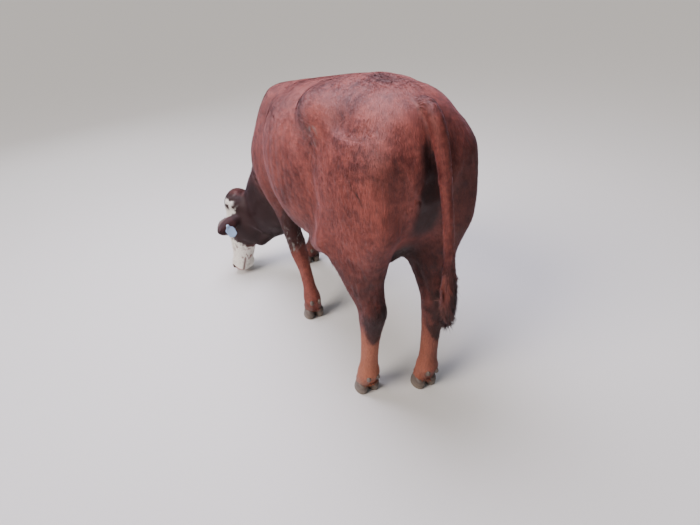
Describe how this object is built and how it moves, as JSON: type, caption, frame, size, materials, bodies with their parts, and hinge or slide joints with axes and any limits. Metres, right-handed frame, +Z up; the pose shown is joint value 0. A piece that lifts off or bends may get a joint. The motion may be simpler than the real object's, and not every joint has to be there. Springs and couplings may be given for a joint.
{
  "type": "beef heifer",
  "caption": "Life-size still model of a red, white-faced polled heifer grazing: head down and turned left, feet planted, tail hanging, a blank flag tag in the left ear.",
  "frame": {"origin": "the middle of the animal's bounding box in plan, on the level the soles stand on", "axes": "+X the way the trunk faces, +Y the animal's left, +Z up"},
  "size_m": [1.8408, 0.7424, 1.2835],
  "materials": {
    "coat": "short red-brown hair, slightly glossy along its lie, curly on the lower legs and poll",
    "face_coat": "short cream-white hair over the face with red cheeks and brindled edges",
    "horn": "dark horn of the claws, ringed, worn pale and dull at the wall's foot",
    "eye": "wet dark brown eyeball with a wide dark pupil",
    "tag_plastic": "weathered flexible pale grey plastic, blank"
  },
  "bodies": {
    "root": {"trunk": "coat", "neck": "coat", "tail": "coat", "ear_left": "coat", "ear_right": "coat", "leg_hind_left": "coat", "leg_hind_right": "coat", "leg_fore_left": "coat", "leg_fore_right": "coat", "head": "face_coat", "claw_hind_left_outer": "horn", "dewclaw_hind_left_outer": "horn", "claw_hind_left_inner": "horn", "dewclaw_hind_left_inner": "horn", "claw_hind_right_outer": "horn", "dewclaw_hind_right_outer": "horn", "claw_hind_right_inner": "horn", "dewclaw_hind_right_inner": "horn", "claw_fore_left_outer": "horn", "dewclaw_fore_left_outer": "horn", "claw_fore_left_inner": "horn", "dewclaw_fore_left_inner": "horn", "claw_fore_right_outer": "horn", "dewclaw_fore_right_outer": "horn", "claw_fore_right_inner": "horn", "dewclaw_fore_right_inner": "horn", "eye_left": "eye", "eye_right": "eye", "ear_tag": "tag_plastic", "ear_tag_stud": "tag_plastic"}
  },
  "joints": []
}
